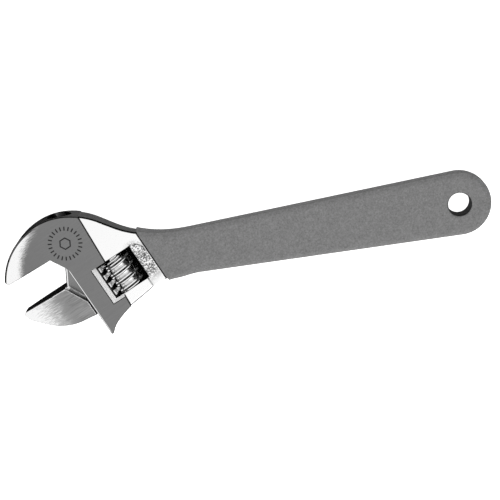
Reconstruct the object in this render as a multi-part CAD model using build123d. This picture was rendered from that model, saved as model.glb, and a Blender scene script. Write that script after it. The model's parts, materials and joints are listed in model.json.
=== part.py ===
from build123d import *
import os
from math import cos, pi, radians, sin, sqrt, tan

# Adjustable wrench of the 200 mm class, lying flat: one forging with the fixed jaw and handle, a
# movable jaw on a round rail, the knurled worm that drives the rail's rack, the worm's pin and
# spring, and a dip-coated grip. Millimetres and degrees.
#
# Frame: origin at the hang hole's centre on the mid-plane, +X from the head to the handle's free
# end, +Y towards the fixed jaw, +Z out of one face. Everything is symmetric about Z = 0, but for
# the worm's thread and the spring.
# Head frame (a, b): origin at the throat's apex, a along the jaw faces towards the handle, and b
# square to them, towards the fixed jaw.

# Handle
THROAT_TO_HOLE = 165.5    # throat apex to hang hole, along the handle
THROAT_RISE = 2.6         # throat apex above the handle's centreline
HEAD_ANGLE = 22.5         # jaw faces against the handle
NECK_FROM_THROAT = 54.0   # narrowest place of the handle, along it
NECK_WIDTH = 17.3         # steel, at that place
END_WIDTH = 24.6          # steel, at the hang hole
CORE_THICK = 6.4          # steel under the grip
SHANK_DROP = 1.3          # the shank's face below the band's, beside the band
SHANK_AT_GRIP = 8.0       # the shank's thickness at the grip's front edge

# Grip: a dipped coat of even thickness
COAT = 1.1
HOLE_R = 4.75             # hang hole, inside the coat
HOLE_ROUND = 1.0          # rounded rim of the hole
GRIP_ROUND = 2.4          # the coat's long edges

# Head
FACE_OFFSET = 6.7         # each jaw face from the throat's apex, at rest
FACET_ANGLE = 60.0        # throat facets against the jaw faces
FIXED_REACH = 26.1        # apex to the fixed jaw's tip
HEAD_CROWN = 22.0         # apex to the head's top
CROWN_A = -0.8            # where the head is tallest, and where both jaws begin to get thinner
FIXED_TIP_THICK = 6.2     # fixed jaw at its tip
BACK_BULGE = (0.6, 0.83)  # middle of the fixed jaw's back, as shares of its reach and the crown
TIP_HEIGHT = 2.1          # blunt end of the fixed jaw
TIP_ROUND = 1.2           # rounding where that end meets the jaw face
HEAD_ROUND = 0.5          # rims of the head and band
SHANK_ROUND = 0.8         # rims of the shank and the steel under the grip
BAND_LEAN = 3.3           # the band's right edge against b
BAND_PAST_RAIL = 6.67     # the band's right edge beyond the rail's centre, at the apex's height
BEAK_DROP = 11.9          # the beak's tip below the window
BEAK_ROUND = 0.6          # the tip's radius
BEAK_LEAN = 50.3          # the beak's right edge against a, at its tip
LOWER_WALL = 5.6          # steel below the window
SHANK_BLEND = 120.0       # radius between the shank's taper and the flat handle
STAMP_AT = (5.6, 9.3)     # middle of the stamped dial of ticks round a hexagon
STAMP_R = 6.4
STAMP_TICKS = 24
STAMP_TICK = (1.7, 0.55)  # a tick's length and width
STAMP_HEX_R = 2.7         # hexagon's corners
STAMP_LINE = 0.6          # its line width
STAMP_DEPTH = 0.15

# Rail of the movable jaw, in the head's bore
RAIL_R = 5.0
RAIL_FIT = 0.08           # radial clearance in the bore
RAIL_TOP = 6.6            # rail's upper end, at rest
RAIL_LENGTH = 34.1
WEB_THICK = 5.0
WEB_FIT = 0.1             # clearance on each side of the web
WEB_SPAN = 3.4            # band's left face to the bore
WEB_OUT = 1.3             # the web's facet stands out from the throat's, along a
WEB_RISE = 1.5            # and runs on past the apex, inside the slot
SLOT_END = 0.4            # clearance past the web when the jaws are shut

# Worm
PITCH = 3.75
WORM_TURNS = 4
WORM_R = 6.6
THREAD_DEPTH = 1.95
CREST_WIDTH = 1.5
FLANK_ANGLE = 14.5
MESH_DEPTH = 1.75         # how deep the thread reaches into the rail
MESH_FIT = 0.14           # clearance on each flank, and at the root
THREAD_SUNK = 0.4         # how far the thread's section reaches into the worm's core
WORM_RECESS = 0.3         # worm below the band's face
END_GAP = 0.4             # worm to window, each end

# Window in the head for the worm
WINDOW_TOP = -6.2
WINDOW_PAST_RAIL = 1.5    # left wall beyond the rail's centre
WINDOW_GAP = 1.7          # worm to the right wall
WINDOW_BEVEL = 1.7        # bevel of the window's left edge, along the face and in depth
LOWER_BEVEL = 1.02        # bevel of its lower edge, along the face
BAND_WALL = 1.5           # least steel over the rail's bore
SCOOP_WIDTH = 5.0         # thumb scoop beside the window
SCOOP_CORNER = 4.6
SCOOP_SHALLOW = 0.25      # the scoop's depth at its far side
SCOOP_DEEP = 1.1          # and at the window
SCOOP_MARGIN = 1.1        # polished strip between scoop and grip

# Pin and spring
PIN_R = 1.8
PIN_FIT = 0.08            # radial clearance in the worm
PIN_SCREW_R = 2.3         # the threaded head in the lower edge
PIN_SCREW_LENGTH = 4.0
PIN_TOP = -2.6            # blind end of the pin
PIN_SUNK = 0.5            # the screw's slotted end below the lower edge
PIN_SLOT = 0.8
PIN_SLOT_DEPTH = 0.9
SPRING_WIRE_R = 0.28
SPRING_FIT = 0.2          # wire to the pin
SPRING_TURNS = 4
COUNTERBORE_R = 3.1
COUNTERBORE_DEPTH = 3.4

# Movable jaw
MOVING_REACH = 27.0       # apex to the movable jaw's tip
MOVING_TIP_THICK = 7.7    # its thickness there
JAW_DROP = 23.3           # apex to the jaw's lowest edge, beside the band
JAW_GAP = 0.4             # thick part to the band's left face
JAW_CORNER_DROP = 16.5    # apex to where the thick part's slanting end meets the band's side
JAW_TIP_HEIGHT = 1.4      # blunt end of the jaw
JAW_TIP_ROUND = 1.0
JAW_FLAT_TO = -1.6        # where the thick part begins to get thinner
JAW_ROUND = 0.5           # rims of the thick part

# Places that follow from the sizes above
RAIL_A = WEB_SPAN + RAIL_R + RAIL_FIT
RAIL_BOTTOM = RAIL_TOP - RAIL_LENGTH
WORM_A = RAIL_A + RAIL_R + WORM_R - MESH_DEPTH
WORM_LENGTH = PITCH * WORM_TURNS
WORM_ROOT_R = WORM_R - THREAD_DEPTH
WINDOW_BOTTOM = WINDOW_TOP - WORM_LENGTH - 2 * END_GAP
WORM_B = (WINDOW_TOP + WINDOW_BOTTOM) / 2
WINDOW_LEFT = RAIL_A + WINDOW_PAST_RAIL
WINDOW_RIGHT = WORM_A + WORM_R + WINDOW_GAP
GRIP_A = WINDOW_RIGHT + SCOOP_WIDTH + SCOOP_MARGIN
BAND_A = RAIL_A + BAND_PAST_RAIL
LOWER_EDGE = WINDOW_BOTTOM - LOWER_WALL
HALF_HEAD = max(WORM_R + WORM_RECESS, RAIL_R + RAIL_FIT + BAND_WALL)
HALF_SHANK = HALF_HEAD - SHANK_DROP
NECK_X = NECK_FROM_THROAT - THROAT_TO_HOLE
CORNER_A = -FACE_OFFSET / tan(radians(FACET_ANGLE))
WEB_CORNER_A = CORNER_A - WEB_OUT
WEB_PEAK_A = WEB_RISE / tan(radians(FACET_ANGLE)) - WEB_OUT
SPRING_COIL_R = PIN_R + SPRING_FIT + SPRING_WIRE_R
FAR = 400.0               # beyond every piece

# Planes
ALONG = Vector(cos(radians(HEAD_ANGLE)), sin(radians(HEAD_ANGLE)), 0)
ACROSS = Vector(-ALONG.Y, ALONG.X, 0)
APEX = Vector(-THROAT_TO_HOLE, THROAT_RISE, 0)
SIDE = Plane(origin=APEX, x_dir=ALONG, z_dir=ACROSS * -1)


def at(a, b):
    """A point of the head frame, on the mid-plane."""
    return APEX + ALONG * a + ACROSS * b


def region(*corners):
    """A flat polygon from corners in the head frame."""
    return make_face(Polyline(*[at(*corner) for corner in corners], close=True))


def slab(face, half):
    """The face thickened by half to both sides of the mid-plane."""
    return extrude(Pos(0, 0, -half) * face, 2 * half, dir=(0, 0, 1))


def side_prism(*edges):
    """A prism along b from a closed outline of (a, z)."""
    face = Pos(*ACROSS * (-FAR / 2)) * (SIDE * make_face(Wire([*edges])))
    return extrude(face, FAR, dir=ACROSS)


def shaft(a, low, high, radius):
    """A cylinder along b, on the mid-plane."""
    seat = Plane(origin=at(a, low), x_dir=ALONG * -1, z_dir=ACROSS)
    return extrude(seat * Circle(radius), high - low)


def rims(solid, outline):
    """The solid's edges that run round an outline, on both faces."""
    ring = outline.face().outer_wire()

    def on_ring(edge):
        middle, run = edge @ 0.5, edge @ 1 - edge @ 0
        flat = Vector(middle.X, middle.Y, 0)
        return Vector(run.X, run.Y, 0).length > 0.01 and ring.distance_to(flat) < 0.01

    return solid.edges().filter_by(on_ring)


def band_edge(b):
    """Where the band's right edge stands at height b."""
    return BAND_A + b * tan(radians(BAND_LEAN))


def handle_edges(extra):
    """Outline of the handle from neck to neck round the free end, extra larger all round."""
    half_neck = NECK_WIDTH / 2 + extra
    half_end = END_WIDTH / 2 + extra
    taper = (END_WIDTH - NECK_WIDTH) / 2 / -NECK_X
    neck_up = Vector(NECK_X, half_neck, 0)
    neck_down = Vector(NECK_X, -half_neck, 0)
    end_up = Vector(-taper * half_end, half_end, 0)
    end_down = Vector(-taper * half_end, -half_end, 0)
    return [
        Line(neck_up, end_up),
        ThreePointArc(end_up, (half_end, 0, 0), end_down),
        Line(end_down, neck_down),
    ]


def forging_outline():
    """The whole forging seen from +Z, with the throat."""
    handle = handle_edges(0)
    neck_up, neck_down = handle[0] @ 0, handle[-1] @ 1
    crown = at(CROWN_A, HEAD_CROWN)
    tip = at(-FIXED_REACH, FACE_OFFSET + TIP_HEIGHT)
    back = ThreePointArc(tip, at(-BACK_BULGE[0] * FIXED_REACH, BACK_BULGE[1] * HEAD_CROWN), crown)
    beak = WINDOW_BOTTOM - BEAK_DROP
    beak_left = at(0, beak + BEAK_ROUND)
    lean_a, lean_b = cos(radians(BEAK_LEAN)), sin(radians(BEAK_LEAN))
    beak_right = at(BEAK_ROUND * (1 + lean_b), beak + BEAK_ROUND * (1 - lean_a))
    face_end = at(TIP_ROUND - FIXED_REACH, FACE_OFFSET)
    upper = Spline(
        crown, at(11.6, HEAD_CROWN - 3.2), at(19.7, HEAD_CROWN - 9.6),
        at(26.1, 3.7), at(30.8, -1.7), at(40.2, -9.4), neck_up,
        tangents=[back % 1, handle[0] % 0],
    )
    lower = Spline(
        neck_down, at(37.3, LOWER_EDGE - 0.7), at(29.7, LOWER_EDGE + 1.4), at(21.0, LOWER_EDGE + 0.5),
        at(13.5, LOWER_EDGE - 0.4), at(7.9, LOWER_EDGE - 2.0), beak_right,
        tangents=[handle[-1] % 1, ALONG * -lean_a - ACROSS * lean_b],
    )
    return make_face(Wire([
        back,
        upper,
        *handle,
        lower,
        ThreePointArc(beak_right, at(BEAK_ROUND, beak), beak_left),
        Line(beak_left, APEX),
        Line(APEX, at(CORNER_A, FACE_OFFSET)),
        Line(at(CORNER_A, FACE_OFFSET), face_end),
        ThreePointArc(face_end, at(0.2 * TIP_ROUND - FIXED_REACH, FACE_OFFSET + 0.5 * TIP_ROUND), tip),
    ]))


def coat_outline():
    """The dipped coat's outline, running on past its front edge into the head."""
    handle = handle_edges(COAT)
    neck_up, neck_down = handle[0] @ 0, handle[-1] @ 1
    high, low = at(24.0, 8.2), at(24.0, LOWER_EDGE - 0.8)
    upper = Spline(
        high, at(30.8, -1.7 + 1.3 * COAT), at(40.2, -9.4 + 1.2 * COAT), neck_up,
        tangents=[ALONG * 0.65 - ACROSS * 0.76, handle[0] % 0],
    )
    lower = Spline(
        neck_down, at(37.3, LOWER_EDGE - 0.7 - 1.1 * COAT), at(31.5, LOWER_EDGE + 1.1 - 1.1 * COAT), low,
        tangents=[handle[-1] % 1, ALONG * -1],
    )
    return make_face(Wire([upper, *handle, lower, Line(low, high)]))


def head_profile(flat_to, reach, tip_thick):
    """Flat up to a = flat_to, then curving gently thinner to a jaw's tip."""
    fall = HALF_HEAD - tip_thick / 2
    run = reach + flat_to
    radius = (run ** 2 + fall ** 2) / (2 * fall)

    def curve(side):
        points = []
        for distance in (0, 0.6 * run, 1.2 * run):
            height = HALF_HEAD - radius + sqrt(radius ** 2 - distance ** 2)
            points.append((flat_to - distance, side * height))
        return points

    top, bottom = curve(1), curve(-1)
    return side_prism(
        Line((FAR, HALF_HEAD), top[0]),
        ThreePointArc(*top),
        Line(top[2], bottom[2]),
        ThreePointArc(*reversed(bottom)),
        Line(bottom[0], (FAR, -HALF_HEAD)),
        Line((FAR, -HALF_HEAD), (FAR, HALF_HEAD)),
    )


def shank_profile(extra):
    """Tapering from beside the band to the thin handle, extra thicker all round."""
    start = BAND_A
    fall = (HALF_SHANK - SHANK_AT_GRIP / 2) / (GRIP_A - start)
    level = start + (HALF_SHANK - CORE_THICK / 2) / fall
    steep = HALF_SHANK + fall * FAR / 4 + extra
    half = CORE_THICK / 2 + extra
    edges = []
    for side in (1, -1):
        corners = [(start - FAR / 4, side * steep), (level, side * half), (FAR, side * half)]
        edges.append(FilletPolyline(*corners, radius=SHANK_BLEND))
    top, bottom = edges
    return side_prism(
        *top.edges(),
        Line((FAR, half), (FAR, -half)),
        *bottom.edges(),
        Line((start - FAR / 4, -steep), (start - FAR / 4, steep)),
    )


def half_plane(limit, side):
    """Everything on one side of the line through limit(b), as a slab."""
    high, low = FAR / 2, -FAR / 2
    return slab(region((limit(low), low), (limit(high), high), (side * FAR, high), (side * FAR, low)), FAR / 8)


def web_slot():
    """The slot that the web slides in: open at the beak and at the throat, shut at the top."""
    lean = radians(FACET_ANGLE)
    off_a, off_b = -SLOT_END * sin(lean), SLOT_END * cos(lean)
    left = WEB_CORNER_A + off_a
    shut = 2 * FACE_OFFSET + WEB_RISE
    top = shut + SLOT_END
    return slab(region(
        (left, 0), (left, FACE_OFFSET + off_b), (WEB_PEAK_A + off_a, shut + off_b),
        (WEB_PEAK_A, top), (RAIL_A, top), (RAIL_A, -FAR / 4), (left, -FAR / 4),
    ), WEB_THICK / 2 + WEB_FIT)


def worm_window():
    """The window, with bevelled left and lower edges on both faces."""
    cut = slab(region(
        (WINDOW_LEFT, WINDOW_TOP), (WINDOW_RIGHT, WINDOW_TOP),
        (WINDOW_RIGHT, WINDOW_BOTTOM), (WINDOW_LEFT, WINDOW_BOTTOM),
    ), 2 * HALF_HEAD)
    for side in (1, -1):
        sections = []
        for grow in (0, 2):
            left, low = WINDOW_LEFT - grow * WINDOW_BEVEL, WINDOW_BOTTOM - grow * LOWER_BEVEL
            height = side * (HALF_HEAD + (grow - 1) * WINDOW_BEVEL)
            section = region((left, WINDOW_TOP), (WINDOW_RIGHT, WINDOW_TOP), (WINDOW_RIGHT, low), (left, low))
            sections.append(Pos(0, 0, height) * section)
        cut += loft(sections)
    return cut


def thumb_scoop():
    """The rough scoop beside the window, on both faces."""
    left = WINDOW_RIGHT - 1.0
    right = WINDOW_RIGHT + SCOOP_WIDTH
    outline = make_face(Wire([
        Line(at(left, WINDOW_TOP), at(right - SCOOP_CORNER, WINDOW_TOP)),
        ThreePointArc(
            at(right - SCOOP_CORNER, WINDOW_TOP),
            at(right - SCOOP_CORNER * (1 - sin(pi / 4)), WINDOW_TOP - SCOOP_CORNER * (1 - cos(pi / 4))),
            at(right, WINDOW_TOP - SCOOP_CORNER),
        ),
        Line(at(right, WINDOW_TOP - SCOOP_CORNER), at(right, -FAR / 4)),
        Line(at(right, -FAR / 4), at(left, -FAR / 4)),
        Line(at(left, -FAR / 4), at(left, WINDOW_TOP)),
    ]))
    fall = (HALF_SHANK - SHANK_AT_GRIP / 2) / (GRIP_A - BAND_A)
    far_floor = HALF_SHANK - fall * (right - BAND_A) - SCOOP_SHALLOW
    near_floor = HALF_SHANK - fall * (WINDOW_RIGHT - BAND_A) - SCOOP_DEEP
    slope = (near_floor - far_floor) / SCOOP_WIDTH
    left_floor = near_floor + slope
    tools = []
    for side in (1, -1):
        above = side_prism(
            Line((right + 1, side * (far_floor - slope)), (left - 1, side * (left_floor + slope))),
            Line((left - 1, side * (left_floor + slope)), (left - 1, side * FAR / 8)),
            Line((left - 1, side * FAR / 8), (right + 1, side * FAR / 8)),
            Line((right + 1, side * FAR / 8), (right + 1, side * (far_floor - slope))),
        )
        tools.append(slab(outline, FAR / 8) & above)
    return tools


def stamp():
    """Shallow dial of ticks round a hexagon, on both faces of the head."""
    centre = at(*STAMP_AT)
    mark = RegularPolygon(STAMP_HEX_R, 6) - RegularPolygon(STAMP_HEX_R - STAMP_LINE, 6)
    mark += [place * Rectangle(*STAMP_TICK) for place in PolarLocations(STAMP_R, STAMP_TICKS)]
    cuts = []
    for side in (1, -1):
        floor = Pos(centre.X, centre.Y, side * (HALF_HEAD - STAMP_DEPTH)) * Rot(0, 0, HEAD_ANGLE) * mark
        cuts.append(extrude(floor, 2 * STAMP_DEPTH, dir=(0, 0, side)))
    return cuts


def pin_bottom():
    """Height of the pin's slotted end, above the lower edge."""
    return LOWER_EDGE + PIN_SUNK


def handle_body():
    """Forging: fixed jaw, band, shank and the handle's core."""
    outline = forging_outline()
    blank = slab(outline, FAR / 8)
    head = blank & head_profile(CROWN_A, FIXED_REACH, FIXED_TIP_THICK) & half_plane(band_edge, -1)
    shank = blank & shank_profile(0) & half_plane(band_edge, 1)
    body = fillet(rims(head, outline), HEAD_ROUND) + fillet(rims(shank, outline), SHANK_ROUND)
    body -= web_slot()
    body -= shaft(RAIL_A, -FAR / 4, FAR / 4, RAIL_R + RAIL_FIT)
    body -= worm_window()
    for tool in thumb_scoop() + stamp():
        body -= tool
    body -= shaft(WORM_A, -FAR / 4, pin_bottom() + PIN_SCREW_LENGTH, PIN_SCREW_R)
    body -= shaft(WORM_A, pin_bottom(), PIN_TOP, PIN_R)
    body -= Cylinder(HOLE_R + COAT, FAR / 8)
    return body


def grip_sleeve():
    """Dipped coat over the handle's core and through its hang hole."""
    coat = slab(coat_outline(), FAR / 8) & shank_profile(COAT)
    coat = fillet(rims(coat, coat_outline()), GRIP_ROUND)
    coat &= half_plane(lambda b: GRIP_A, 1)
    steel = forging_outline()
    core = slab(steel, FAR / 8) & shank_profile(0) & half_plane(band_edge, 1)
    coat -= fillet(rims(core, steel), SHANK_ROUND)
    coat += Cylinder(HOLE_R + COAT, CORE_THICK)
    coat -= Cylinder(HOLE_R, FAR / 8)
    mouth = coat.edges().filter_by(GeomType.CIRCLE).filter_by(lambda edge: abs(edge.radius - HOLE_R) < 0.001)
    return fillet(mouth, HOLE_ROUND)


def movable_jaw():
    """Thick jaw, thin web, and the round rail with its rack."""
    face_end = at(JAW_TIP_ROUND - MOVING_REACH, -FACE_OFFSET)
    tip = at(-MOVING_REACH, -FACE_OFFSET - JAW_TIP_HEIGHT)
    heel = at(-JAW_GAP, -JAW_DROP)
    corner = at(WEB_CORNER_A - 0.3, -FACE_OFFSET)
    nose = ThreePointArc(
        face_end, at(0.3 * JAW_TIP_ROUND - MOVING_REACH, -FACE_OFFSET - 0.4 * JAW_TIP_ROUND), tip,
    )
    outline = make_face(Wire([
        Line(corner, face_end),
        nose,
        Spline(
            tip, at(-0.87 * MOVING_REACH, -0.57 * JAW_DROP), at(-0.66 * MOVING_REACH, -0.79 * JAW_DROP),
            at(-0.33 * MOVING_REACH, -0.955 * JAW_DROP), heel,
            tangents=[nose % 1, ALONG * 0.98 - ACROSS * 0.17],
        ),
        Line(heel, at(-JAW_GAP, -JAW_CORNER_DROP)),
        Line(at(-JAW_GAP, -JAW_CORNER_DROP), corner),
    ]))
    jaw = slab(outline, FAR / 8) & head_profile(JAW_FLAT_TO, MOVING_REACH, MOVING_TIP_THICK)
    jaw = fillet(rims(jaw, outline), JAW_ROUND)
    jaw += slab(region(
        (WEB_CORNER_A, -FACE_OFFSET), (WEB_PEAK_A, WEB_RISE), (RAIL_A, WEB_RISE),
        (RAIL_A, 0.4 - JAW_DROP), (-4, 0.4 - JAW_DROP), (WEB_CORNER_A - 4, -FACE_OFFSET - 1),
    ), WEB_THICK / 2)
    jaw += shaft(RAIL_A, RAIL_BOTTOM, RAIL_TOP, RAIL_R)
    for groove in rack_grooves():
        jaw -= groove
    return jaw


def rack_grooves():
    """Straight grooves across the rail, leaning with the worm's thread."""
    slope = tan(radians(FLANK_ANGLE))
    crest_line = RAIL_A + RAIL_R
    root_line = crest_line - MESH_DEPTH - MESH_FIT
    half_root = CREST_WIDTH / 2 + MESH_FIT
    half_mouth = half_root + slope * (crest_line + 1 - root_line)
    lead = Vector(0, 0, 1) + ACROSS * (PITCH / (2 * pi * (WORM_R - 0.6)))
    grooves = []
    above = int((RAIL_TOP - WORM_B) / PITCH) + 1
    below = int((WORM_B - RAIL_BOTTOM) / PITCH) + 1
    for turn in range(-below, above + 1):
        b = WORM_B + turn * PITCH
        section = region(
            (root_line, b - half_root), (root_line, b + half_root),
            (crest_line + 1, b + half_mouth), (crest_line + 1, b - half_mouth),
        )
        groove = extrude(section, 2 * RAIL_R, dir=lead, both=True)
        if RAIL_BOTTOM < b + half_mouth and b - half_mouth < RAIL_TOP:
            grooves.append(groove)
    return grooves


def worm_seat():
    """The worm's own frame: x towards the rail, z along b, from the worm's middle."""
    return Plane(origin=at(WORM_A, WORM_B), x_dir=ALONG * -1, z_dir=ACROSS)


def worm():
    """Right-hand worm with a trapezoidal thread, bored for its pin and spring."""
    inside = WORM_ROOT_R - THREAD_SUNK
    half_crest = CREST_WIDTH / 2
    half_base = half_crest + tan(radians(FLANK_ANGLE)) * (WORM_R - inside)
    start = -(WORM_TURNS // 2 + 1) * PITCH
    path = Helix(PITCH, -2 * start, inside, center=(0, 0, start))
    section = make_face(Polyline(
        (inside, 0, start - half_base), (WORM_R, 0, start - half_crest),
        (WORM_R, 0, start + half_crest), (inside, 0, start + half_base), close=True,
    ))
    thread = sweep(section, path=path, is_frenet=True) & Box(4 * WORM_R, 4 * WORM_R, WORM_LENGTH)
    body = Cylinder(WORM_ROOT_R, WORM_LENGTH) + thread
    body -= Cylinder(PIN_R + PIN_FIT, 2 * WORM_LENGTH)
    body -= Pos(0, 0, WORM_LENGTH / 2) * Cylinder(COUNTERBORE_R, 2 * COUNTERBORE_DEPTH)
    return worm_seat().location * body


def worm_pin():
    """Slotted axle screw, put in from the lower edge."""
    low = pin_bottom()
    pin = shaft(WORM_A, low, low + PIN_SCREW_LENGTH, PIN_SCREW_R)
    pin += shaft(WORM_A, low, PIN_TOP, PIN_R)
    slot = region(
        (WORM_A - PIN_SLOT / 2, low - 1), (WORM_A + PIN_SLOT / 2, low - 1),
        (WORM_A + PIN_SLOT / 2, low + PIN_SLOT_DEPTH), (WORM_A - PIN_SLOT / 2, low + PIN_SLOT_DEPTH),
    )
    return pin - slab(slot, 2 * PIN_SCREW_R)


def worm_spring():
    """Small coil in the worm's counterbore, against the window's upper wall."""
    low = WORM_LENGTH / 2 - COUNTERBORE_DEPTH + SPRING_WIRE_R + 0.05
    high = WORM_LENGTH / 2 + END_GAP - SPRING_WIRE_R - 0.1
    path = Helix((high - low) / SPRING_TURNS, high - low, SPRING_COIL_R, center=(0, 0, low))
    wire = Plane(origin=path @ 0, z_dir=path % 0) * Circle(SPRING_WIRE_R)
    return worm_seat().location * sweep(wire, path=path, is_frenet=True)


PARTS = {
    "handle_body": handle_body,
    "movable_jaw": movable_jaw,
    "worm": worm,
    "worm_pin": worm_pin,
    "worm_spring": worm_spring,
    "grip_sleeve": grip_sleeve,
}

os.makedirs("parts", exist_ok=True)
for name, make in PARTS.items():
    export_step(make(), f"parts/{name}.step")
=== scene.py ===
"""Adjustable wrench: finishes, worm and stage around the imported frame.

Laid out as a Blender add-on and run as a script. Meshes are in metres in the shared frame. Places
on the head are in mm in the head frame: from the apex of the throat, a runs along the jaw faces
towards the handle, and b runs square to them towards the fixed jaw.
"""

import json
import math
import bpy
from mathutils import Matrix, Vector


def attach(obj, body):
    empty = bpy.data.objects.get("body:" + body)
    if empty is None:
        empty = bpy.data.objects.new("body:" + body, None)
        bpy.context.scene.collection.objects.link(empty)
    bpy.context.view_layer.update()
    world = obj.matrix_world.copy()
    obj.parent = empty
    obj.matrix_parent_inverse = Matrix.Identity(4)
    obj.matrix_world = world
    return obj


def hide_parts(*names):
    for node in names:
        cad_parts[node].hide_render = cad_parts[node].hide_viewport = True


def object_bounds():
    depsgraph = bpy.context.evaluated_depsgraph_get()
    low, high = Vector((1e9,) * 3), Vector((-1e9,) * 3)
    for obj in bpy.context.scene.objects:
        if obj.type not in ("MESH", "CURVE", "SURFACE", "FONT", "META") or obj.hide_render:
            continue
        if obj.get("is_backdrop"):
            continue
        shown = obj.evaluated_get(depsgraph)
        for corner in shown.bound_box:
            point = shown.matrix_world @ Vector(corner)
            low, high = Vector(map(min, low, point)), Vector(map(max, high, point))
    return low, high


bl_info = {
    "name": "Adjustable Wrench",
    "version": (1, 0, 0),
    "blender": (4, 5, 0),
    "location": "View3D > Sidebar > Wrench",
    "description": "Finishes, knurled worm and studio of an adjustable wrench",
    "category": "Add Mesh",
}

import bmesh
import bpy
from bpy.props import FloatProperty, FloatVectorProperty, IntProperty, PointerProperty
from mathutils import Matrix, Vector

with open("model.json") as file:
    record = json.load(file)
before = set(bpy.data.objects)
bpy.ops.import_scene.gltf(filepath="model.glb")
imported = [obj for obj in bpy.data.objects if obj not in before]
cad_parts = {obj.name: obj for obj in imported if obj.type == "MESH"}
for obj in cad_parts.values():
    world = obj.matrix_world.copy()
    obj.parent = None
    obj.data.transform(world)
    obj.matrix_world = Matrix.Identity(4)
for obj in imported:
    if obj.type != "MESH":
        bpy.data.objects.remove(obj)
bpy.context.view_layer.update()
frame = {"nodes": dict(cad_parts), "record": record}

MM = 0.001

# The worm's joint places the head frame.
BEHAVIOUR = frame["record"]["behaviour"]
WORM_JOINT = next(j for j in BEHAVIOUR["joints"] if j["name"] == "worm_turn")
WORM_CENTRE = Vector(WORM_JOINT["pos_m"])
ACROSS = Vector(WORM_JOINT["axis"]).normalized()
ALONG = Vector((ACROSS.y, -ACROSS.x, 0))
HEAD_ANGLE = math.atan2(ALONG.y, ALONG.x)
PITCH = math.tau / BEHAVIOUR["couplings"][0]["ratio"]
WORM_A, WORM_B = 18.33, -14.1  # the worm's middle, mm
APEX = WORM_CENTRE - ALONG * WORM_A * MM - ACROSS * WORM_B * MM

# Places on the head, mm
BAND_EDGE_A = 15.15  # the band's right edge at the apex's height
BAND_LEAN = math.radians(3.3)
HALF_BAND = 6.9
WINDOW_TOP, WINDOW_BOTTOM = -6.2, -22.0
WINDOW_LEFT, WINDOW_RIGHT = 9.98, 26.63
BEVEL_LEFT = WINDOW_LEFT - 1.7  # where the window's bevels meet the band
BEVEL_BOTTOM = WINDOW_BOTTOM - 1.02
SCOOP_RIGHT = 31.63
SCOOP_CORNER = 4.6
GRIP_A = 32.73
JAW_ARC = (-1.07, -8.34, 30.34)  # centre and radius of the fixed jaw's back
RAIL_A = 8.48
RAIL_TIP = 4.8  # from the rail's axis to the tops of the rack teeth, which get a painted highlight
RACK_TOOTH = -8.475  # height of one tooth's middle
JAW_CORNER = (-5.17, -6.7)  # where the web's facet meets the sliding jaw's face
FACET = math.radians(60)  # throat facets against a
THICK_CORNER, THICK_LEAN = (-5.47, -6.7), math.radians(27.3)  # slanting end of the thick part
STAMP_AT = (5.6, 9.3)
STAMP_R = 7.6
HOLE_R = 4.75
LOWER_BAND_B = -33.5  # the band's lower end
WEB_HALF = 2.7  # half the thin web's thickness, at its outer edge
RAIL_FROM_A = 3.3  # the rail's painted shade starts here

BRUSH_ANGLE = math.radians(-13)  # lay of the sliding jaw's brushing
SHARP = math.radians(28)  # edges bent by more than this are drawn sharp
MERGE = 1e-6
BORE_STEPS = 48

# The studio, in metres
BLACK = (0.01,) * 3  # felt of the flags and of the card beside the head; also the sheet of painted shadow below the window
TABLE_GREY = (0.2,) * 3
FLOOR_SIZE, TABLE_SIZE, TABLE_DROP = 6, 8, 0.05
BACK_FLAG_AT, BACK_FLAG_SIZE = (-0.1, 1.2, 0.25), (3.0, 0.7)
SIDE_FLAG_AT, SIDE_FLAG_SIZE = (0.75, 0.3, 0.36), (1.6, 0.8)
LAMP_AT, LAMP_SIZE = (0.35, -0.35, 0.9), (0.9, 0.7)


class Wrench_Sizes(bpy.types.PropertyGroup):
    """Sizes of the worm's thread and knurl."""

    worm_radius: FloatProperty(
        name="Worm radius", description="Outer radius of the knurled crests",
        default=6.6 * MM, unit="LENGTH", precision=5,
    )
    thread_depth: FloatProperty(
        name="Thread depth", description="From the crests to the bottom of the grooves",
        default=1.95 * MM, unit="LENGTH", precision=5,
    )
    crest_width: FloatProperty(
        name="Crest width", description="Width of a crest, along the worm",
        default=1.5 * MM, unit="LENGTH", precision=5,
    )
    flank_angle: FloatProperty(
        name="Flank angle", description="Lean of the thread's flanks",
        default=math.radians(14.5), subtype="ANGLE",
    )
    turns: IntProperty(name="Turns", description="Turns of thread on the worm", default=4, min=1)
    knurl_depth: FloatProperty(
        name="Knurl depth", description="Height of the knurl's points",
        default=0.2 * MM, unit="LENGTH", precision=5,
    )
    knurl_count: IntProperty(
        name="Knurl points", description="Points of the knurl round the worm", default=72, min=24,
    )
    knurl_width: FloatProperty(
        name="Knurl width", description="Width of the knurled strip on a crest",
        default=0.84 * MM, unit="LENGTH", precision=5,
    )
    crest_drop: FloatProperty(
        name="Crest drop", description="From the knurl to the crest's polished corners",
        default=0.25 * MM, unit="LENGTH", precision=5,
    )
    root_round: FloatProperty(
        name="Root round", description="Rounding at the bottom of the grooves",
        default=0.3 * MM, unit="LENGTH", precision=5,
    )
    bore_radius: FloatProperty(
        name="Bore radius", description="Bore for the worm's pin",
        default=1.88 * MM, unit="LENGTH", precision=5,
    )
    counterbore_radius: FloatProperty(
        name="Counterbore radius", description="Counterbore for the worm's spring",
        default=3.1 * MM, unit="LENGTH", precision=5,
    )
    counterbore_depth: FloatProperty(
        name="Counterbore depth", description="Depth of the spring's counterbore",
        default=3.4 * MM, unit="LENGTH", precision=5,
    )


def shade(name, description, value):
    """A colour property of one grey or of three parts."""
    rgb = value if isinstance(value, tuple) else (value,) * 3
    return FloatVectorProperty(
        name=name, description=description, default=rgb, subtype="COLOR", size=3, min=0, max=1,
    )


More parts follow.
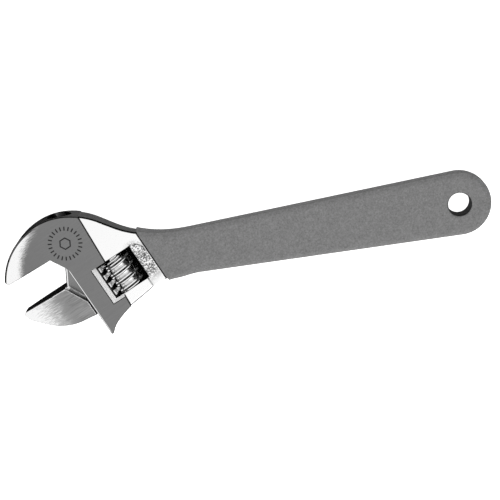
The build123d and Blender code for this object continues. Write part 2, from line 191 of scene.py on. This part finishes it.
class Wrench_Finish(bpy.types.PropertyGroup):
    """Colours of the wrench's finishes."""

    satin: shade("Satin band", "Satin-brushed plating of the head and band", 0.19)
    # polish also paints highlights: the jaws' bright ends, the band's left edge, the web's lines, the
    # thick part's rim, the gripping face's rims and the rack teeth's tops
    polish_and_highlight: shade("Polish", "Polished plating of the shank, and painted highlights on the jaws' outer ends and edges", 0.93)
    # the rims' darker tone is partly painted shade on the walls that face sideways
    forged_and_shaded: shade("Forged rim", "Darker plating round the rims, with painted shade on the side walls", 0.22)
    # shadow is painted shade for the steps, corners, walls, outlines and rail
    shadow: shade("Shadow line", "Painted shade in the steps, corners, walls and outlines", 0.012)
    scoop: shade("Scoop", "Rough floor of the thumb scoop", 0.12)
    jaw: shade("Jaw", "Brushed side of the sliding jaw", 0.26)
    # painted shade that makes the gripping faces and the sliding jaw's lower rim near black
    bite_shade: shade("Jaw face", "Gripping faces of the jaws", 0.004)
    knurl: shade("Knurl", "Knurled crests of the worm", 0.09)
    thread: shade("Thread", "Ground grooves of the worm", 0.7)
    pin: shade("Pin", "Turned steel of the worm's pin", 0.35)
    spring: shade("Spring", "Drawn wire of the worm's spring", 0.45)
    vinyl: shade("Vinyl", "Dipped coat of the grip", 0.19)
    floor: shade("Floor", "Studio floor", 0.9)


class Wrench_Stage(bpy.types.PropertyGroup):
    """Camera and light of the studio."""

    tilt: FloatProperty(
        name="Tilt", description="Camera's lean from straight above the wrench",
        default=math.radians(13.5), subtype="ANGLE",
    )
    turn: FloatProperty(
        name="Turn", description="How far the handle rises to the right in the picture",
        default=math.radians(10.26), subtype="ANGLE",
    )
    distance: FloatProperty(
        name="Distance", description="Camera to the point it looks at", default=0.63, unit="LENGTH",
    )
    aim: FloatVectorProperty(
        name="Aim", description="Point that the camera looks at", size=2, subtype="TRANSLATION",
        default=(-0.08917, -0.00461),
    )
    lens: FloatProperty(name="Lens", description="Focal length in mm on a 36 mm sensor", default=108.0)
    tent: FloatProperty(name="Tent", description="Brightness of the light tent", default=1.0, min=0)
    key: FloatProperty(name="Key", description="Power of the overhead soft light, W", default=2.0, min=0)


class Value:
    """A node's output that can be used in arithmetic. Each operation adds a Math node."""

    def __init__(self, graph, socket):
        self.graph = graph
        self.socket = socket

    def __add__(self, other):
        return self.graph.math("ADD", self, other)

    def __radd__(self, other):
        return self.graph.math("ADD", other, self)

    def __sub__(self, other):
        return self.graph.math("SUBTRACT", self, other)

    def __rsub__(self, other):
        return self.graph.math("SUBTRACT", other, self)

    def __mul__(self, other):
        return self.graph.math("MULTIPLY", self, other)

    def __rmul__(self, other):
        return self.graph.math("MULTIPLY", other, self)

    def __pow__(self, other):
        return self.graph.math("POWER", self, other)

    def __abs__(self):
        return self.graph.math("ABSOLUTE", self)

    def most(self, other):
        """The larger of the two."""
        return self.graph.math("MAXIMUM", self, other)


class Graph:
    """The node tree of a material, in mm of the head frame."""

    def __init__(self, name):
        self.material = bpy.data.materials.new(name)
        self.material.use_nodes = True
        self.tree = self.material.node_tree
        self.tree.nodes.clear()
        self.place = self.head_frame()
        self.a, self.b, self.z = self.parts(self.place)

    def add(self, kind, settings=None, sockets=None, out=0):
        """A node of any type: its settings first, then its sockets' values or links."""
        node = self.tree.nodes.new(kind)
        for name, value in (settings or {}).items():
            setattr(node, name, value)
        for name, value in (sockets or {}).items():
            if isinstance(value, Value):
                self.tree.links.new(value.socket, node.inputs[name])
            else:
                node.inputs[name].default_value = value
        return Value(self, node.outputs[out])

    def math(self, operation, *values):
        """A Math node on values or numbers."""
        return self.add("ShaderNodeMath", {"operation": operation}, dict(enumerate(values)))

    def head_frame(self):
        """Object coordinates as mm in the head frame."""
        here = self.add("ShaderNodeTexCoord", out="Object")
        return self.add(
            "ShaderNodeMapping", {"vector_type": "TEXTURE"},
            {"Vector": here, "Location": APEX, "Rotation": (0, 0, HEAD_ANGLE), "Scale": (MM,) * 3},
        )

    def parts(self, vector):
        """The three numbers of a vector."""
        first = self.add("ShaderNodeSeparateXYZ", None, {0: vector})
        outputs = first.socket.node.outputs
        return [Value(self, outputs[i]) for i in range(3)]

    def facing(self):
        """How far the surface faces +a, +b and +Z of the head frame."""
        normal = self.add("ShaderNodeTexCoord", out="Normal")
        turned = self.add(
            "ShaderNodeVectorRotate", {"rotation_type": "Z_AXIS"},
            {"Vector": normal, "Angle": -HEAD_ANGLE},
        )
        return self.parts(turned)

    def distance(self, a, b):
        """Distance from a place on the head."""
        return ((self.a - a) ** 2 + (self.b - b) ** 2) ** 0.5

    def rise(self, value, low, high):
        """0 below low and 1 above high, smooth between; high may be the smaller."""
        return self.add(
            "ShaderNodeMapRange", {"interpolation_type": "SMOOTHSTEP"},
            {"Value": value, "From Min": low, "From Max": high},
        )

    def between(self, value, low, high, soft):
        """1 between low and high, falling off over soft."""
        return self.rise(value, low - soft, low) * self.rise(value, high + soft, high)

    def noise(self, scale, detail=2.0, stretch=(1, 1, 1), turn=0.0, roughness=0.5):
        """Noise of about 0 to 1 with features of 1/scale mm, stretched along the head frame."""
        vector = self.add(
            "ShaderNodeMapping", None,
            {"Vector": self.place, "Rotation": (0, 0, turn), "Scale": stretch},
        )
        return self.add(
            "ShaderNodeTexNoise", None,
            {"Vector": vector, "Scale": scale, "Detail": detail, "Roughness": roughness},
        )

    def mix(self, factor, first, second):
        """Colour from first to second."""
        ends = [value if isinstance(value, Value) else (*value, 1) for value in (first, second)]
        return self.add(
            "ShaderNodeMix", {"data_type": "RGBA"}, {0: factor, 6: ends[0], 7: ends[1]}, out=2,
        )

    def scale(self, colour, factor):
        """A colour made brighter or darker by a value."""
        return self.add(
            "ShaderNodeVectorMath", {"operation": "SCALE"}, {"Vector": tuple(colour), "Scale": factor},
        )

    def finish(self, colour, roughness, height, depth, metallic=1.0, specular=0.5):
        """Principled surface with a bump of depth mm."""
        bump = self.add("ShaderNodeBump", None, {"Height": height, "Distance": depth * MM})
        surface = self.add("ShaderNodeBsdfPrincipled", None, {
            "Base Color": colour, "Roughness": roughness, "Metallic": metallic, "Normal": bump,
            "Specular IOR Level": specular,
        })
        output = self.tree.nodes.new("ShaderNodeOutputMaterial")
        self.tree.links.new(surface.socket, output.inputs["Surface"])
        return self.material


def past_scoop(g):
    """How far outside the thumb scoop, whose upper right corner is rounded."""
    reach_a = (g.a - (SCOOP_RIGHT - SCOOP_CORNER)).most(0.0)
    reach_b = (g.b - (WINDOW_TOP - SCOOP_CORNER)).most(0.0)
    return (reach_a ** 2 + reach_b ** 2) ** 0.5 - SCOOP_CORNER


def window_masks(g, face_a, face_b, up):
    """The worm's window, and the two bevels at its left and lower edges that get a painted highlight."""
    window = (
        g.between(g.a, BEVEL_LEFT - 0.1, WINDOW_RIGHT + 0.1, 0.02)
        * g.between(g.b, BEVEL_BOTTOM - 0.1, WINDOW_TOP + 0.1, 0.02)
    )
    left = g.rise(face_a, 0.5, 0.65) * g.between(up, 0.62, 0.8, 0.05)
    low = g.rise(face_b, 0.7, 0.8) * g.between(up, 0.44, 0.6, 0.05)
    return window, left.most(low) * window


def forging_steel(colours):
    """Plated forging: satin band, polished shank, dark rims partly from painted shade, rough thumb
    scoop, with painted highlights and painted shade lines.
    """
    g = Graph("plated_forging")
    face_a, face_b, face_up = g.facing()
    up = abs(face_up)
    flat = g.rise(up, 0.9, 0.97)
    edge = g.a - g.b * math.tan(BAND_LEAN) - BAND_EDGE_A
    shank = g.rise(edge, -0.05, 0.1)
    streaks = g.noise(1.0, 3.0, (0.12, 5.0, 5.0))
    fine = g.noise(2.2, 2.0, (0.25, 3.0, 3.0))
    # painted highlight: the fixed jaw brightens in a ragged strip along its back
    centre_a, centre_b, radius = JAW_ARC
    from_back = radius - g.distance(centre_a, centre_b)
    ragged = from_back + (streaks - 0.5) * 5.0 + (fine - 0.5) * 5.0 + (g.a + 12.0) * 0.4
    glow = g.rise(ragged, 6.6, 2.4) * g.rise(g.a + (fine - 0.5) * 8, 3.0, -8.0)
    satin = g.scale(colours.satin, 0.8 + streaks * 0.25 + fine * 0.15)
    band = g.mix(glow, satin, colours.polish_and_highlight)
    # painted highlight: the band's left edge is painted bright
    edge_highlight = g.between(g.a, -0.3, 0.5, 0.15) * g.rise(g.b, -0.5, -2.0)
    edge_highlight = edge_highlight * g.rise(g.b, LOWER_BAND_B, LOWER_BAND_B + 2.5)
    band = g.mix(edge_highlight * flat, band, colours.polish_and_highlight)
    body = g.mix(shank, band, colours.polish_and_highlight)
    # the stamped dial's recess is darkened
    from_dial = g.distance(*STAMP_AT)
    sunk = g.rise(abs(g.z), HALF_BAND - 0.03, HALF_BAND - 0.09)
    recess = g.rise(from_dial, STAMP_R + 0.4, STAMP_R) * sunk
    past = past_scoop(g)
    beside = g.rise(g.a, WINDOW_RIGHT - 0.4, WINDOW_RIGHT)
    inside = g.rise(past, 0.15, -0.15) * beside
    speckle = g.noise(1.5, 2.0, roughness=0.7)
    spots = g.rise(speckle, 0.44, 0.58)
    lower = g.rise(g.b, -19.0, -26.0)
    scooped = g.mix(spots.most(lower), colours.scoop, colours.polish_and_highlight)
    halo = g.rise(past, 2.4, 0.0) * g.rise(g.a, WINDOW_RIGHT - 3, WINDOW_RIGHT + 1) * (1 - lower)
    body = g.mix(halo * (1 - spots) * 0.5, body, colours.scoop)
    body = g.mix(inside, body, scooped)
    ridge = g.between(past, -0.45, 0.1, 0.12) * g.rise(g.b, -13.0, -10.0) * beside
    body = g.mix(ridge * g.rise(fine, 0.62, 0.45), body, colours.shadow)
    # painted shade in dark lines: at the foot of the band's step, at the coat's edge, outside the
    # window's bevels
    step = g.between(edge, 0.0, 0.32, 0.1)
    lip = g.rise(g.a, GRIP_A - 0.85, GRIP_A - 0.7)
    left_line = g.between(g.a, BEVEL_LEFT - 0.32, BEVEL_LEFT, 0.08)
    left_line = left_line * g.between(g.b, BEVEL_BOTTOM - 0.3, WINDOW_TOP, 0.1)
    low_line = g.between(g.b, BEVEL_BOTTOM - 0.3, BEVEL_BOTTOM, 0.08)
    low_line = low_line * g.rise(g.a, BEVEL_LEFT - 0.4, BEVEL_LEFT - 0.3)
    low_line = low_line * (1 - shank)
    line = step.most(lip).most(left_line.most(low_line) * flat)
    body = g.mix(line.most(recess * 0.9), body, colours.shadow)
    # side walls and rims: darker plating that is partly painted shade, deepened by painted shade near
    # the fixed jaw's back
    rim = g.rise(up, 0.8, 0.5)
    back_shade = g.rise(g.a, 1.0, -9.0) * g.rise(g.b, 5.0, 8.0)
    body = g.mix(rim, body, g.scale(colours.forged_and_shaded, (0.6 + fine * 0.8) * (1 - back_shade * 0.75)))
    # painted shade: black lines on the fillets along the outer back of the head and fixed jaw, and along
    # the beak
    fillet = g.between(up, 0.18, 0.92, 0.02)
    outer = (g.rise(g.b, 4.0, 6.0) * (1 - shank)).most(shank * g.rise(g.b, -11.0, -9.0))
    back = fillet * outer * g.rise(face_b, -0.3, -0.1)
    outline = g.rise(from_back, 0.95, 0.75) * g.rise(g.a, 0.0, -4.0) * g.rise(g.b, 5.0, 6.0)
    back = back.most(outline * flat)
    beak = fillet * g.rise(g.b, -25.0, -27.0) * g.rise(face_b, -0.2, -0.35) * 0.8
    body = g.mix(back.most(beak), body, colours.shadow)
    # painted highlight on the window's bevels, pure white and less metallic, and painted shade on its
    # walls
    window, bevel = window_masks(g, face_a, face_b, up)
    body = g.mix(window * g.rise(up, 0.35, 0.25), body, colours.shadow)
    body = g.mix(bevel, body, (1, 1, 1))
    rough = 0.34 - shank * 0.16 - glow * 0.1 + inside * 0.25 + rim * 0.1
    rough = rough + bevel * 0.2 + (streaks - 0.5) * 0.08
    height = streaks * (1 - shank) + speckle * inside * (1 - lower) * 2.5
    return g.finish(body, rough, height, 0.012, metallic=1 - bevel)


def jaw_steel(colours):
    """Sliding jaw: brushed side with a painted highlight towards the tip, and a gripping face in black
    painted shade.
    """
    g = Graph("brushed_jaw")
    face_a, face_b, face_up = g.facing()
    up = abs(face_up)
    streaks = g.noise(0.9, 3.0, (0.16, 3.0, 3.0), BRUSH_ANGLE, 0.65)
    broad = g.noise(0.5, 2.0, (0.2, 1.6, 1.6), BRUSH_ANGLE)
    side = g.scale(colours.jaw, 0.1 + streaks * 1.3 + broad * 0.5)
    # painted highlight: the side brightens towards the tip
    tip = g.rise(g.a + (streaks - 0.5) * 22.0, -9.0, -23.0)
    colour = g.mix(tip, side, colours.polish_and_highlight)
    # thin web in a darker tone, with painted highlight and painted shade lines beside the throat's facet
    # and the thick part
    web = g.rise(abs(g.z), WEB_HALF, WEB_HALF - 0.15)
    colour = g.mix(web, colour, g.scale(colours.jaw, 0.7 + streaks * 0.3))
    facet = (g.a - JAW_CORNER[0]) * math.sin(FACET) - (g.b - JAW_CORNER[1]) * math.cos(FACET)
    lean_a, lean_b = math.cos(THICK_LEAN), math.sin(THICK_LEAN)
    end = (g.a - THICK_CORNER[0]) * lean_a + (g.b - THICK_CORNER[1]) * lean_b
    bright = g.between(facet, 0.35, 0.75, 0.1).most(g.between(end, 0.05, 0.5, 0.1))
    colour = g.mix(bright * web, colour, colours.polish_and_highlight)
    colour = g.mix(g.rise(facet, 0.42, 0.3) * web, colour, colours.shadow)
    # the thick part's slanting end: painted highlight on its rim, painted shade on its wall
    faces_end = g.rise(face_a * lean_a + face_b * lean_b, 0.2, 0.3)
    thick = g.rise(g.a, 0.2, 0.0) * (1 - web)
    colour = g.mix(thick * faces_end * g.between(up, 0.35, 0.9, 0.05), colour, colours.polish_and_highlight)
    colour = g.mix(thick * faces_end * g.rise(up, 0.4, 0.3), colour, colours.shadow)
    # lower rim: a faint outline of painted shade
    low_rim = thick * g.rise(face_b, -0.3, -0.45) * g.between(up, 0.2, 0.9, 0.05)
    colour = g.mix(low_rim * 0.7, colour, colours.bite_shade)
    # rail: painted shade, but for a painted highlight on the tops of its teeth
    from_rail = ((g.a - RAIL_A) ** 2 + g.z ** 2) ** 0.5
    rail = g.rise(g.a, RAIL_FROM_A, RAIL_FROM_A + 0.3)
    off_tooth = g.math("PINGPONG", g.b - RACK_TOOTH, PITCH / MM / 2)
    teeth = g.rise(from_rail, RAIL_TIP, RAIL_TIP + 0.1) * g.rise(g.a, 10.5, 10.8)
    teeth = teeth * g.rise(off_tooth, 1.15, 0.95)
    colour = g.mix(rail, colour, g.mix(teeth, colours.shadow, colours.polish_and_highlight))
    # gripping face: black painted shade, with a painted highlight along its rims
    bite_shade = g.rise(face_b, 0.75, 0.88) * g.rise(g.a, 0.5, 0.0)
    edge_highlight = g.between(face_b, 0.25, 0.7, 0.1) * g.rise(g.a, -3.6, -4.0) * g.rise(g.b, -8.5, -8.0)
    colour = g.mix(edge_highlight, colour, colours.polish_and_highlight)
    colour = g.mix(bite_shade, colour, colours.bite_shade)
    rough = 0.3 - tip * 0.1 + bite_shade * 0.65 + (streaks - 0.5) * 0.12
    return g.finish(colour, rough, streaks, 0.014)


def plain_steel(name, colour, roughness, grain=0.2):
    """Turned or drawn steel with a faint grain."""
    g = Graph(name)
    grain_noise = g.noise(3.0, 3.0, (1.0, 0.3, 1.0))
    tone = g.scale(colour, 1 - grain / 2 + grain_noise * grain)
    return g.finish(tone, roughness + (grain_noise - 0.5) * 0.12, grain_noise, 0.006)


def vinyl(colours):
    """Matte dipped vinyl with a fine orange-peel skin."""
    g = Graph("dipped_vinyl")
    up = abs(g.facing()[2])
    peel = g.noise(1.1, 2.0)
    mottle = g.noise(0.3, 3.0)
    pits = g.noise(1.7, 2.0, roughness=0.7)
    tone = 0.02 + peel * 0.7 + mottle * 0.3 + pits * 1.0
    # painted shade on the hang hole's wall and on the grip's sides
    middle = (-APEX).to_3d()
    hole_a, hole_b = middle.dot(ALONG) / MM, middle.dot(ACROSS) / MM
    from_hole = g.distance(hole_a, hole_b)
    wall = g.rise(from_hole, HOLE_R + 1.1, HOLE_R + 0.8) * g.rise(up, 0.85, 0.6)
    rim = g.rise(up, 0.62, 0.3) * 0.35
    tone = tone * (1 - wall * 0.9) * (1 - rim)
    height = peel * 0.6 + pits * 0.4
    rough = 0.62 + (peel - 0.5) * 0.15
    return g.finish(g.scale(colours.vinyl, tone), rough, height, 0.12, metallic=0.0, specular=0.35)


def set_material(node, material):
    """Gives a CAD node its material."""
    mesh = frame["nodes"][node].data
    mesh.materials.clear()
    mesh.materials.append(material)


def object_from(bm, name, *materials):
    """A mesh object at the origin from a finished bmesh, smooth but for its sharp edges."""
    bmesh.ops.recalc_face_normals(bm, faces=bm.faces)
    for face in bm.faces:
        face.smooth = True
    for edge in bm.edges:
        edge.smooth = edge.is_manifold and edge.calc_face_angle(0) < SHARP
    mesh = bpy.data.meshes.new(name)
    bm.to_mesh(mesh)
    bm.free()
    for material in materials:
        mesh.materials.append(material)
    piece = bpy.data.objects.new(name, mesh)
    bpy.context.scene.collection.objects.link(piece)
    return piece


def chain(bm, points):
    """Vertices joined in a row by edges, in the plane y = 0; points are (x, z)."""
    verts = [bm.verts.new((x, 0, z)) for x, z in points]
    edges = [bm.edges.new(pair) for pair in zip(verts, verts[1:])]
    return verts, edges


# Material slots of the worm; the thread keeps slot 0
CREST, CHAMFER = 1, 2


def worm_mesh(sizes):
    """Right-hand worm with knurled crests, along its own Z, from its middle."""
    bm = bmesh.new()
    half = PITCH / 2
    radius = sizes.worm_radius
    root = radius - sizes.thread_depth
    crest = sizes.crest_width / 2
    base = crest + math.tan(sizes.flank_angle) * sizes.thread_depth
    floor = radius - sizes.knurl_depth
    corner = radius - sizes.crest_drop
    corner_z = crest + math.tan(sizes.flank_angle) * sizes.crest_drop
    lip, lip_z = radius - 0.03 * MM, sizes.knurl_width / 2
    row = lip_z - 0.04 * MM
    land = [
        (root, -half), (root, -base), (corner, -corner_z), (lip, -lip_z),
        (floor, -row), (floor, 0), (floor, row),
        (lip, lip_z), (corner, corner_z), (root, base),
    ]
    low = -(sizes.turns // 2 + 1) * PITCH
    periods = sizes.turns + 1
    points = [(r, low + n * PITCH + z) for n in range(periods) for r, z in land]
    points.append((root, low + periods * PITCH - half))
    verts, _ = chain(bm, points)
    roots = [v for v in verts if abs(v.co.x - root) < MERGE and len(v.link_edges) == 2]
    corners = [v for v in roots if abs(abs((v.co.z - low + half) % PITCH - half) - half) > 1e-5]
    bmesh.ops.bevel(
        bm, geom=corners, offset=sizes.root_round, offset_type="OFFSET", segments=3, profile=0.5,
        affect="VERTICES", material=-1,
    )
    steps = sizes.knurl_count
    bmesh.ops.spin(
        bm, geom=bm.verts[:] + bm.edges[:], cent=(0, 0, 0), axis=(0, 0, 1),
        dvec=(0, 0, PITCH / steps), angle=math.tau, steps=steps, use_merge=False,
    )
    bmesh.ops.remove_doubles(bm, verts=bm.verts[:], dist=MERGE)
    knurled = []
    for face in bm.faces:
        level = [math.hypot(v.co.x, v.co.y) for v in face.verts]
        if min(level) > floor - 1e-5 and max(level) < floor + 1e-5:
            face.material_index = CREST
            knurled.append(face)
        elif min(level) > corner - 1e-5:
            face.material_index = CHAMFER
    bmesh.ops.poke(bm, faces=knurled, offset=sizes.knurl_depth, center_mode="MEAN")
    end = PITCH * sizes.turns / 2
    for side in (-1, 1):
        bmesh.ops.bisect_plane(
            bm, geom=bm.verts[:] + bm.edges[:] + bm.faces[:], dist=1e-7,
            plane_co=(0, 0, side * end), plane_no=(0, 0, side), clear_outer=True,
        )
    bore = sizes.bore_radius
    wide = sizes.counterbore_radius
    rim = 0.15 * MM
    shelf = end - sizes.counterbore_depth
    verts, edges = chain(bm, [
        (bore + rim, -end), (bore, -end + rim), (bore, shelf),
        (wide, shelf), (wide, end - rim), (wide + rim, end),
    ])
    bmesh.ops.spin(
        bm, geom=verts + edges, cent=(0, 0, 0), axis=(0, 0, 1), dvec=(0, 0, 0),
        angle=math.tau, steps=BORE_STEPS, use_merge=True,
    )
    for side in (-1, 1):
        ring = [
            e for e in bm.edges
            if e.is_boundary and all(abs(v.co.z - side * end) < MERGE for v in e.verts)
        ]
        bmesh.ops.triangle_fill(bm, use_beauty=True, edges=ring, normal=(0, 0, side))
    bmesh.ops.remove_doubles(bm, verts=bm.verts[:], dist=MERGE)
    return bm


class Wrench_OT_forging(bpy.types.Operator):
    """Finish the handle's forging: satin band, polished shank, dark rims with painted shade, painted
    highlights and rough scoop
    """

    bl_idname = "wrench.forging"
    bl_label = "Forged handle"

    def execute(self, context):
        set_material("handle_body", forging_steel(context.scene.wrench_finish))
        return {"FINISHED"}


class Wrench_OT_jaw(bpy.types.Operator):
    """Finish the sliding jaw and its rail"""

    bl_idname = "wrench.jaw"
    bl_label = "Sliding jaw"

    def execute(self, context):
        set_material("movable_jaw", jaw_steel(context.scene.wrench_finish))
        return {"FINISHED"}


class Wrench_OT_worm(bpy.types.Operator):
    """Build the knurled worm in place of the plain one"""

    bl_idname = "wrench.worm"
    bl_label = "Knurled worm"

    def execute(self, context):
        colours = context.scene.wrench_finish
        bm = worm_mesh(context.scene.wrench_sizes)
        turn = Matrix((-ALONG, ACROSS.cross(-ALONG), ACROSS)).transposed().to_4x4()
        bm.transform(Matrix.Translation(WORM_CENTRE) @ turn)
        piece = object_from(
            bm, "knurled_worm",
            plain_steel("ground_thread", colours.thread, 0.22),
            plain_steel("knurled_crest", colours.knurl, 0.3),
            plain_steel("crest_chamfer", colours.polish_and_highlight, 0.15),
        )
        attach(piece, "worm_body")
        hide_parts("worm")
        return {"FINISHED"}


class Wrench_OT_axle(bpy.types.Operator):
    """Finish the worm's pin and spring"""

    bl_idname = "wrench.axle"
    bl_label = "Pin and spring"

    def execute(self, context):
        colours = context.scene.wrench_finish
        set_material("worm_pin", plain_steel("turned_pin", colours.pin, 0.35))
        set_material("worm_spring", plain_steel("drawn_wire", colours.spring, 0.3))
        return {"FINISHED"}


class Wrench_OT_grip(bpy.types.Operator):
    """Finish the dipped grip"""

    bl_idname = "wrench.grip"
    bl_label = "Dipped grip"

    def execute(self, context):
        set_material("grip_sleeve", vinyl(context.scene.wrench_finish))
        return {"FINISHED"}


def card(name, centre, size, towards, colour, glow=0.0):
    """A flat plane of the studio, square to the line to the point it faces."""
    bm = bmesh.new()
    bmesh.ops.create_grid(bm, x_segments=1, y_segments=1, size=0.5)
    bmesh.ops.scale(bm, vec=(*size, 1), verts=bm.verts)
    turn = (Vector(towards) - Vector(centre)).to_track_quat("Z", "Y").to_matrix().to_4x4()
    bm.transform(Matrix.Translation(centre) @ turn)
    material = bpy.data.materials.new(name)
    material.use_nodes = True
    surface = material.node_tree.nodes["Principled BSDF"]
    surface.inputs["Base Color"].default_value = (*colour, 1)
    surface.inputs["Roughness"].default_value = 0.9
    surface.inputs["Specular IOR Level"].default_value = 0.0
    surface.inputs["Emission Color"].default_value = (1, 1, 1, 1)
    surface.inputs["Emission Strength"].default_value = glow
    plane = object_from(bm, name, material)
    plane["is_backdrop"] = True
    return plane


def flat_mat(name, a, b, height, size, turn):
    """A dark sheet that lies flat at a height, its middle at a, b mm in the head frame."""
    middle = APEX + (ALONG * a + ACROSS * b) * MM
    mat = card(name, (0, 0, 0), size, (0, 0, 1), BLACK)
    turned = Matrix.Rotation(turn, 4, "Z")
    mat.data.transform(Matrix.Translation((middle.x, middle.y, height)) @ turned)
    return mat


class Wrench_OT_stage(bpy.types.Operator):
    """Lay the floor and set the light and the camera"""

    bl_idname = "wrench.stage"
    bl_label = "Studio"

    def execute(self, context):
        scene = context.scene
        stage = scene.wrench_stage
        low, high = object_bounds()
        middle = (low + high) / 2
        ground = low.z
        floor = card(
            "floor", (middle.x, middle.y, ground), (FLOOR_SIZE, FLOOR_SIZE), (middle.x, middle.y, 1),
            scene.wrench_finish.floor, glow=1.0,
        )
        floor.visible_glossy = False
        # below the floor, which reflections pass through
        table = card(
            "dark_table", (middle.x, middle.y, ground - TABLE_DROP), (TABLE_SIZE, TABLE_SIZE),
            (middle.x, middle.y, 1), TABLE_GREY,
        )
        # flags that give the polished steel its dark reflections
        flag = card("black_flag", BACK_FLAG_AT, BACK_FLAG_SIZE, (BACK_FLAG_AT[0], 0, 0), BLACK)
        side = card("side_flag", SIDE_FLAG_AT, SIDE_FLAG_SIZE, APEX, BLACK)
        # a black sheet of painted shadow on the floor below the worm's window, and a dark card beside
        # the head's back, hidden from the camera
        flat_mat(
            "window_shadow_sheet", (WINDOW_LEFT + WINDOW_RIGHT) / 2 + 1.0, (WINDOW_TOP + WINDOW_BOTTOM) / 2,
            ground + 0.1 * MM, (0.018, 0.0175), HEAD_ANGLE,
        )
        beside = flat_mat("head_shade", -16, 27, ground - 12 * MM, (0.05, 0.03), math.radians(50))
        for unseen in (table, flag, side, beside):
            unseen.visible_camera = False
        light = bpy.data.lights.new("softbox", "AREA")
        light.shape = "RECTANGLE"
        light.size, light.size_y = LAMP_SIZE
        light.energy = stage.key
        lamp = bpy.data.objects.new("softbox", light)
        lamp.location = LAMP_AT
        lamp.rotation_euler = (middle - lamp.location).to_track_quat("-Z", "Y").to_euler()
        lamp.visible_camera = False
        scene.collection.objects.link(lamp)
        world = bpy.data.worlds.new("tent")
        world.use_nodes = True
        background = world.node_tree.nodes["Background"]
        background.inputs["Color"].default_value = (1, 1, 1, 1)
        background.inputs["Strength"].default_value = stage.tent
        scene.world = world
        scene.view_settings.view_transform = "Standard"
        data = bpy.data.cameras.new("camera")
        data.lens = stage.lens
        camera = bpy.data.objects.new("camera", data)
        camera.rotation_euler = (-stage.tilt, 0, -stage.turn)
        back = camera.rotation_euler.to_matrix() @ Vector((0, 0, 1))
        camera.location = Vector((*stage.aim, 0)) + back * stage.distance
        scene.collection.objects.link(camera)
        scene.camera = camera
        return {"FINISHED"}


class Wrench_PT_sidebar(bpy.types.Panel):
    """Lists the wrench's pieces, sizes and finishes"""

    bl_idname = "WRENCH_PT_sidebar"
    bl_label = "Adjustable Wrench"
    bl_space_type = "VIEW_3D"
    bl_region_type = "UI"
    bl_category = "Wrench"

    def draw(self, context):
        column = self.layout.column()
        for operator in OPERATORS:
            column.operator(operator.bl_idname)
        for group in (getattr(context.scene, name) for name in GROUPS):
            column.separator()
            for name in group.bl_rna.properties.keys():
                if name not in ("rna_type", "name"):
                    column.prop(group, name)


OPERATORS = (
    Wrench_OT_forging, Wrench_OT_jaw, Wrench_OT_worm, Wrench_OT_axle, Wrench_OT_grip, Wrench_OT_stage,
)
GROUPS = {"wrench_sizes": Wrench_Sizes, "wrench_finish": Wrench_Finish, "wrench_stage": Wrench_Stage}


def register():
    for group in GROUPS.values():
        bpy.utils.register_class(group)
    for operator in OPERATORS:
        bpy.utils.register_class(operator)
    bpy.utils.register_class(Wrench_PT_sidebar)
    for name, group in GROUPS.items():
        setattr(bpy.types.Scene, name, PointerProperty(type=group))


def unregister():
    for name in GROUPS:
        delattr(bpy.types.Scene, name)
    for kind in (Wrench_PT_sidebar, *OPERATORS, *GROUPS.values()):
        bpy.utils.unregister_class(kind)


def main():
    register()
    bpy.ops.wrench.forging()
    bpy.ops.wrench.jaw()
    bpy.ops.wrench.worm()
    bpy.ops.wrench.axle()
    bpy.ops.wrench.grip()
    bpy.ops.wrench.stage()


if __name__ == "__main__":
    main()
